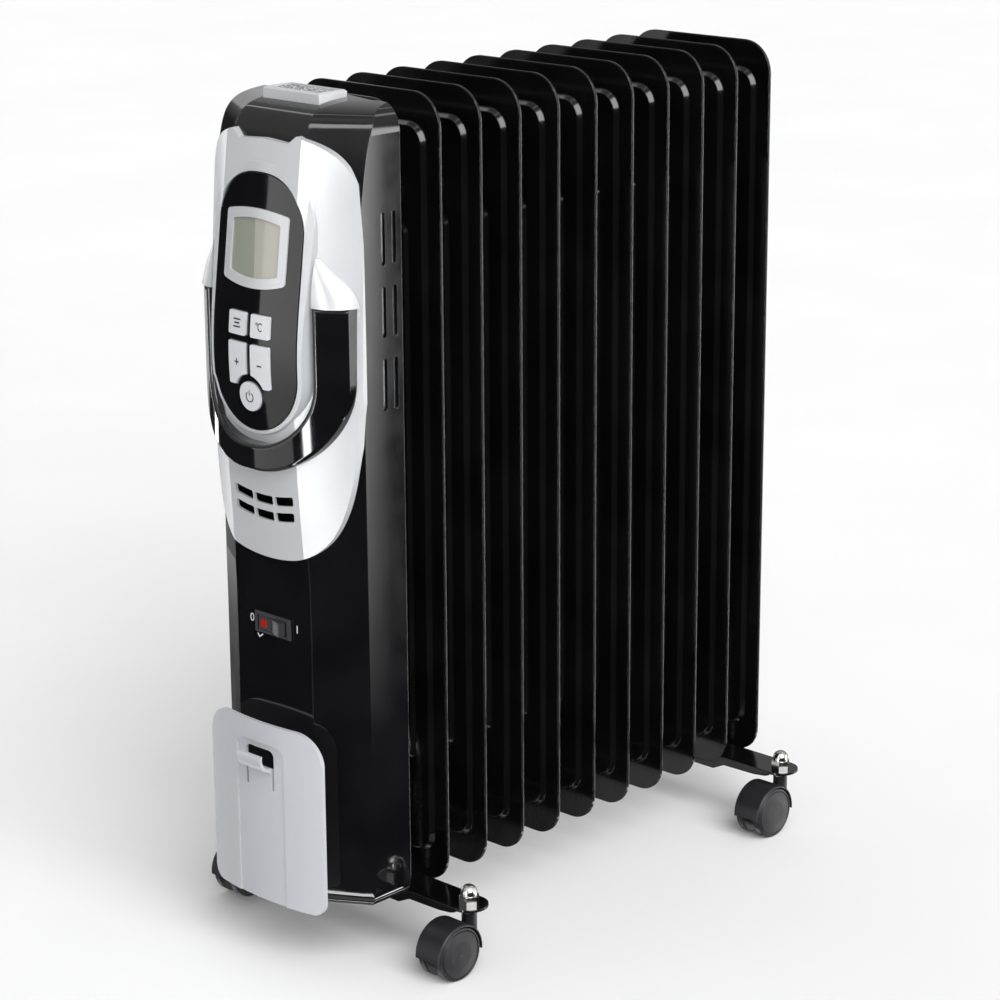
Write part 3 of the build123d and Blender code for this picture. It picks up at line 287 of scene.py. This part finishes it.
def add_piece(name, vertices, faces, material, body, smooth=False):
    """New mesh object that rides on a body."""
    mesh = bpy.data.meshes.new(name)
    mesh.from_pydata(vertices, [], faces)
    mesh.update()
    if smooth:
        mesh.shade_smooth()
    piece = bpy.data.objects.new(name, mesh)
    piece.data.materials.append(material)
    bpy.context.scene.collection.objects.link(piece)
    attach(piece, body)
    return piece


def surface_tree(node):
    """Search tree over one CAD node at rest."""
    mesh = nodes[node].data
    points = [v.co.copy() for v in mesh.vertices]
    return BVHTree.FromPolygons(points, [tuple(p.vertices) for p in mesh.polygons])


def front_surface(tree, x, z):
    """Point of a CAD node's front surface at x and z, seen from the front."""
    hit = tree.ray_cast(Vector((x, -1.0, z)), Vector((0, 1, 0)))[0]
    return hit.y if hit else None


class Mark:
    """Flat print that follows the front surface of a CAD node. Shapes are grids of (x, z)."""

    RAISE = 0.00012
    SINK = 0.0002

    def __init__(self, node):
        self.tree = surface_tree(node)
        self.vertices = []
        self.faces = []

    def grid(self, rows, closed=False):
        """Add a strip: rows of points across, closed when the last row meets the first."""
        across = len(rows[0])
        start = len(self.vertices)
        for row in rows:
            for x, z in row:
                y = front_surface(self.tree, x, z)
                self.vertices.append((x, y - self.RAISE, z))
                self.vertices.append((x, y + self.SINK, z))
        count = len(rows)
        spans = count if closed else count - 1

        def at(row, column, back):
            return start + 2 * ((row % count) * across + column) + back

        def quad(*corners):
            self.faces.append(tuple(at(*corner) for corner in corners))

        last = across - 1
        end = count - 1
        for i in range(spans):
            for j in range(last):
                quad((i, j, 0), (i + 1, j, 0), (i + 1, j + 1, 0), (i, j + 1, 0))
                quad((i, j + 1, 1), (i + 1, j + 1, 1), (i + 1, j, 1), (i, j, 1))
            quad((i, 0, 1), (i + 1, 0, 1), (i + 1, 0, 0), (i, 0, 0))
            quad((i, last, 0), (i + 1, last, 0), (i + 1, last, 1), (i, last, 1))
        if not closed:
            for j in range(last):
                quad((0, j, 0), (0, j + 1, 0), (0, j + 1, 1), (0, j, 1))
                quad((end, j, 1), (end, j + 1, 1), (end, j + 1, 0), (end, j, 0))

    def bar(self, x0, z0, x1, z1, width, steps=8):
        """Straight stroke."""
        along = Vector((x1 - x0, z1 - z0))
        side = Vector((-along.y, along.x)).normalized() * width / 2
        rows = []
        for i in range(steps + 1):
            centre = Vector((x0, z0)) + along * (i / steps)
            rows.append([tuple(centre + side * t) for t in (-1, 0, 1)])
        self.grid(rows)

    def ring(self, x, z, radius_x, radius_z, width, start=0.0, end=360.0, steps=32):
        """Round stroke; angles in degrees, 0 to the right and 90 up."""
        closed = abs(end - start) >= 360
        rows = []
        for i in range(steps if closed else steps + 1):
            angle = math.radians(start + (end - start) * i / steps)
            row = []
            for t in (-0.5, 0.0, 0.5):
                across = math.cos(angle) * (radius_x + t * width)
                rise = math.sin(angle) * (radius_z + t * width)
                row.append((x + across, z + rise))
            rows.append(row)
        self.grid(rows, closed)

    def finish(self, name, material, body):
        return add_piece(name, self.vertices, self.faces, material, body)


def middle(node):
    """Middle of a CAD node's front view: x and z."""
    low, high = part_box(node)
    return (low.x + high.x) / 2, (low.z + high.z) / 2


def key_marks(ink):
    """Generic symbols on the keys."""
    x, z = middle("button_plus")
    plus = Mark("button_plus")
    plus.bar(x - 0.0022, z + 0.001, x + 0.0022, z + 0.001, 0.0009)
    plus.bar(x, z + 0.0015, x, z + 0.0033, 0.0009, 3)
    plus.bar(x, z - 0.0013, x, z + 0.0005, 0.0009, 3)
    plus.finish("mark_plus", ink, "key_plus")

    x, z = middle("button_minus")
    minus = Mark("button_minus")
    minus.bar(x - 0.0022, z + 0.001, x + 0.0022, z + 0.001, 0.0009)
    minus.finish("mark_minus", ink, "key_minus")

    x, z = middle("button_mode")
    mode = Mark("button_mode")
    for level, half in ((0.0026, 0.0036), (0.0, 0.0026), (-0.0026, 0.0036)):
        mode.bar(x - half, z + level, x + half, z + level, 0.001)
    mode.finish("mark_mode", ink, "key_mode")

    x, z = middle("button_temperature")
    degree = Mark("button_temperature")
    degree.ring(x - 0.0026, z + 0.002, 0.0008, 0.0008, 0.0005, steps=16)
    degree.ring(x + 0.0008, z, 0.0021, 0.0026, 0.0007, 45, 315, 20)
    degree.finish("mark_temperature", ink, "key_temperature")

    x, z = middle("button_power")
    power = Mark("button_power")
    power.ring(x, z - 0.0003, 0.0035, 0.0035, 0.0008, 125, 415, 28)
    power.bar(x, z + 0.0006, x, z + 0.0044, 0.0008, 5)
    power.finish("mark_power", ink, "key_power")


def switch_marks(ink):
    """Off ring, on bar and tick beside the rocker switch."""
    low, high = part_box("switch_housing")
    level = (low.z + high.z) / 2
    marks = Mark("control_housing")
    marks.ring(low.x - 0.0045, level + 0.001, 0.0016, 0.0026, 0.0007, steps=24)
    marks.bar(high.x + 0.0056, level - 0.0008, high.x + 0.0056, level + 0.0048, 0.0008)
    marks.bar(low.x + 0.0008, level - 0.0096, low.x + 0.0026, level - 0.012, 0.0009, 3)
    marks.bar(low.x + 0.0024, level - 0.0122, low.x + 0.0064, level - 0.0094, 0.0009, 4)
    marks.finish("mark_switch", ink, "heater")


FIELD_INSET = 0.0034
FIELD_DROP = 0.0016
FIELD_STEP = 0.00045
FIELD_SINK = 0.0003
PEAK_PITCH = 0.0021
PEAK_SHIFT = 0.0004
PEAK_REACH = 0.00125
PEAK_HEIGHT = 0.0009
PEAK_ROUNDNESS = 0.7
BUCKET = 0.003


def scatter_peaks(x0, x1, y0, y1):
    """Bumps of the inlay as (x, y, size), sorted into square buckets."""
    random.seed(7)
    buckets = {}
    for i in range(int((x1 - x0) / PEAK_PITCH) + 1):
        for j in range(int((y1 - y0) / PEAK_PITCH) + 1):
            x = x0 + (i + 0.5 * (j % 2)) * PEAK_PITCH + random.uniform(-PEAK_SHIFT, PEAK_SHIFT)
            y = y0 + j * PEAK_PITCH + random.uniform(-PEAK_SHIFT, PEAK_SHIFT)
            size = random.uniform(0.7, 1.0)
            buckets.setdefault((int(x // BUCKET), int(y // BUCKET)), []).append((x, y, size))
    return buckets


def peak_level(buckets, x, y):
    """Height of the bumps at one point, 0 to 1."""
    level = 0.0
    for i in (-1, 0, 1):
        for j in (-1, 0, 1):
            bucket = (int(x // BUCKET) + i, int(y // BUCKET) + j)
            for peak_x, peak_y, size in buckets.get(bucket, ()):
                distance = ((x - peak_x) ** 2 + (y - peak_y) ** 2) / PEAK_REACH**2
                if distance < 1:
                    level = max(level, size * (1 - distance) ** PEAK_ROUNDNESS)
    return level


def hammered_field(material):
    """Bumpy inlay in the recess of the top plate: a height grid closed underneath."""
    low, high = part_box("top_plate")
    x0, x1 = low.x + FIELD_INSET, high.x - FIELD_INSET
    y0, y1 = low.y + FIELD_INSET, high.y - FIELD_INSET
    floor = high.z - FIELD_DROP
    columns = round((x1 - x0) / FIELD_STEP)
    rows = round((y1 - y0) / FIELD_STEP)
    buckets = scatter_peaks(x0, x1, y0, y1)
    vertices = []
    for i in range(columns + 1):
        for j in range(rows + 1):
            x = x0 + (x1 - x0) * i / columns
            y = y0 + (y1 - y0) * j / rows
            vertices.append((x, y, floor + PEAK_HEIGHT * peak_level(buckets, x, y)))
    across = rows + 1
    faces = []
    for i in range(columns):
        for j in range(rows):
            a = i * across + j
            faces.append((a, a + across, a + across + 1, a + 1))
    under = len(vertices)
    for x, y in ((x0, y0), (x1, y0), (x1, y1), (x0, y1)):
        vertices.append((x, y, floor - FIELD_SINK))
    faces.append((under + 3, under + 2, under + 1, under))
    far = columns * across
    edges = (
        [i * across for i in range(columns + 1)],
        [far + j for j in range(rows + 1)],
        [i * across + rows for i in range(columns, -1, -1)],
        [j for j in range(rows, -1, -1)],
    )
    for side, edge in enumerate(edges):
        faces.append(tuple(reversed(edge)) + (under + side, under + (side + 1) % 4))
    add_piece(
        "top_plate_texture", vertices, faces, material, "heater", smooth=True
    )


# ------------------------------------------------------------------ looks of the CAD nodes


def paint():
    """Give every CAD node its material."""
    black = gloss_black()
    steel = enamel()
    low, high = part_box("display_window")
    silver = silver_paint("silver_paint", (0.6, 0.61, 0.63), 0.38, 0.3)
    key_silver = silver_paint("key_silver", (0.66, 0.67, 0.7), 0.34, 0.1)
    satin_silver = silver_paint("satin_silver", (0.5, 0.505, 0.54), 0.42, 0.1)
    bright = silver_paint("bright_silver", (0.66, 0.67, 0.69), 0.3, 0.35)
    castor = satin_plastic("castor_plastic", (0.011, 0.0105, 0.0125), 0.4, 1800, 0.00006)
    dark = satin_plastic("dark_plastic", (0.02, 0.02, 0.022), 0.5, 1500, 0.00008)
    rubber = satin_plastic("black_rubber", (0.014, 0.014, 0.014), 0.65, 1200, 0.0001)
    ceramic = satin_plastic("white_ceramic", (0.6, 0.58, 0.52), 0.5, 900, 0.00008)
    zinc = plated("zinc_plate", (0.62, 0.64, 0.66), 0.28)
    nickel = plated("nickel_plate", (0.78, 0.77, 0.75), 0.16)
    brass = plated("machined_brass", (0.7, 0.52, 0.24), 0.3)
    galvanised = plated("galvanised_sheet", (0.5, 0.52, 0.54), 0.42)
    looks = {
        "control_housing": black,
        "silver_fascia": silver,
        "handle_grip": black,
        "display_pod": black,
        "display_bezel": bright,
        "display_window": display_with_painted_reflection(low, high),
        "display_board": circuit_board(),
        "top_plate": bright,
        "switch_housing": dark,
        "switch_rocker": dark,
        "switch_lens": red_lens(),
        "cord_plate": satin_silver,
        "cord_plate_hub": dark,
        "cord_gland": rubber,
        "control_board": circuit_board(),
        "thermal_cutout": ceramic,
        "rear_shield": galvanised,
        "heating_element": zinc,
        "element_flange": brass,
        "filler_plug": brass,
        "housing_screws": zinc,
        "header_u_bolts": zinc,
        "wing_nuts": zinc,
        "castor_stems": zinc,
        "cap_nuts": nickel,
        "header_collars": steel,
        "front_foot_bracket": steel,
        "rear_foot_bracket": steel,
    }
    for name, node in nodes.items():
        look = looks.get(name)
        if name.startswith("fin_"):
            look = steel
        elif name.startswith("button_"):
            look = key_silver
        elif name.startswith("castor_axle"):
            look = zinc
        elif name.startswith(("castor_hood", "castor_wheel")):
            look = castor
        node.data.materials.clear()
        node.data.materials.append(look)


# ------------------------------------------------------------------ studio


# Tall light bands seen only in reflections: start and end azimuth in degrees, edge softness,
# and strength at the lower and the upper end. Azimuth 0 looks from the control side, 90 from +X.
BANDS = (
    (-41.5, -6.0, 0.8, 0.4, 1.2),
    (2.0, 8.0, 1.0, 7.0, 24.0),
    (112.0, 134.05, 0.4, -1.7, 4.6),
    (150.0, 156.0, 1.0, 7.0, 9.0),
    (-96.0, -90.0, 1.0, 7.0, 9.0),
    (-134.0, -112.0, 1.5, 0.2, 0.8),
    (176.0, 179.0, 1.0, 4.0, 6.0),
)
BAND_LOW = -0.45
BAND_HIGH = -0.1
# Above this rise the bands fade out and an even ceiling takes over.
BAND_TOP = 0.02
BAND_FADE = 0.3
BAND_LOSS = 0.85
CEILING_LEVEL = 0.3
REFLECTED_BASE = 0.02
DIFFUSE_LEVEL = 0.5
SUN_LEVEL = 2.95
SUN_ANGLE = 50
SUN_AZIMUTH = 66
SUN_RISE = 0.75
FLOOR_HALF = 40.0


def math_node(tree, operation, a, b=None, clamp=False):
    """Math node fed with outputs or numbers."""
    node = tree.nodes.new("ShaderNodeMath")
    node.operation = operation
    node.use_clamp = clamp
    for socket, value in zip(node.inputs, (a, b)):
        if value is None:
            continue
        if isinstance(value, (int, float)):
            socket.default_value = value
        else:
            tree.links.new(value, socket)
    return node.outputs["Value"]


def reflected_level(tree):
    """Brightness of the studio as glossy surfaces see it."""
    coords = tree.nodes.new("ShaderNodeTexCoord")
    axis = tree.nodes.new("ShaderNodeSeparateXYZ")
    tree.links.new(coords.outputs["Generated"], axis.inputs["Vector"])
    backwards = math_node(tree, "MULTIPLY", axis.outputs["Y"], -1.0)
    angle = math_node(tree, "ARCTAN2", axis.outputs["X"], backwards)
    azimuth = math_node(tree, "MULTIPLY", angle, 180.0 / math.pi)
    rise = math_node(tree, "SUBTRACT", axis.outputs["Z"], BAND_LOW)
    height = math_node(tree, "DIVIDE", rise, BAND_HIGH - BAND_LOW, clamp=True)
    bands = 0.0
    for start, end, soft, low, high in BANDS:
        centre = (start + end) / 2
        half = (end - start) / 2
        away = math_node(tree, "ABSOLUTE", math_node(tree, "SUBTRACT", azimuth, centre))
        inside = math_node(tree, "SUBTRACT", half + soft / 2, away)
        mask = math_node(tree, "DIVIDE", inside, soft, clamp=True)
        ramp = math_node(tree, "ADD", math_node(tree, "MULTIPLY", height, high - low), low)
        level = math_node(tree, "MAXIMUM", ramp, 0.0)
        bands = math_node(tree, "ADD", math_node(tree, "MULTIPLY", mask, level), bands)
    above = math_node(tree, "SUBTRACT", axis.outputs["Z"], BAND_TOP)
    faded = math_node(tree, "DIVIDE", above, BAND_FADE, clamp=True)
    kept = math_node(tree, "SUBTRACT", 1.0, math_node(tree, "MULTIPLY", faded, BAND_LOSS))
    ceiling = math_node(tree, "MULTIPLY", faded, CEILING_LEVEL)
    base = math_node(tree, "ADD", ceiling, REFLECTED_BASE)
    return math_node(tree, "ADD", math_node(tree, "MULTIPLY", bands, kept), base)


def make_studio():
    """Pale floor, even surroundings, a soft sun and light bands for the reflections."""
    mesh = bpy.data.meshes.new("floor")
    corners = [
        (-FLOOR_HALF, -FLOOR_HALF, 0),
        (FLOOR_HALF, -FLOOR_HALF, 0),
        (FLOOR_HALF, FLOOR_HALF, 0),
        (-FLOOR_HALF, FLOOR_HALF, 0),
    ]
    mesh.from_pydata(corners, [], [(0, 1, 2, 3)])
    floor = bpy.data.objects.new("floor", mesh)
    look = Look("floor_paper", roughness=0.9)
    look.colour(look.blend(look.noise(3), (0.93, 0.93, 0.93), (0.95, 0.95, 0.95)))
    floor.data.materials.append(look.material)
    bpy.context.scene.collection.objects.link(floor)
    floor.visible_glossy = False

    world = bpy.data.worlds.new("studio")
    world.use_nodes = True
    tree = world.node_tree
    background = tree.nodes["Background"]
    background.inputs["Color"].default_value = (1.0, 1.0, 1.0, 1.0)
    path = tree.nodes.new("ShaderNodeLightPath")
    glossy = path.outputs["Is Glossy Ray"]
    unlit = math_node(tree, "MULTIPLY", math_node(tree, "SUBTRACT", 1.0, glossy), DIFFUSE_LEVEL)
    backdrop = math_node(tree, "MULTIPLY", path.outputs["Is Camera Ray"], 1.0 - DIFFUSE_LEVEL)
    plain = math_node(tree, "ADD", unlit, backdrop)
    seen = math_node(tree, "MULTIPLY", reflected_level(tree), glossy)
    tree.links.new(math_node(tree, "ADD", plain, seen), background.inputs["Strength"])
    bpy.context.scene.world = world

    data = bpy.data.lights.new("soft_sun", "SUN")
    data.energy = SUN_LEVEL
    data.angle = math.radians(SUN_ANGLE)
    sun = bpy.data.objects.new("soft_sun", data)
    azimuth = math.radians(SUN_AZIMUTH)
    towards = Vector((math.sin(azimuth), -math.cos(azimuth), SUN_RISE))
    sun.matrix_world = towards.to_track_quat("Z", "Y").to_matrix().to_4x4()
    bpy.context.scene.collection.objects.link(sun)


# ------------------------------------------------------------------ build


SHARP_ANGLE = 28


def smooth_shading():
    """Smooth shading on the CAD nodes, with their hard edges kept."""
    for node in nodes.values():
        node.data.shade_smooth()
        node.data.set_sharp_from_angle(angle=math.radians(SHARP_ANGLE))


bpy.context.scene.view_settings.view_transform = "Standard"
make_camera()
paint()
smooth_shading()
key_marks(print_ink("dark_ink", (0.02, 0.02, 0.025)))
switch_marks(print_ink("white_ink", (0.75, 0.76, 0.78)))
hammered_field(hammered_silver())
make_studio()
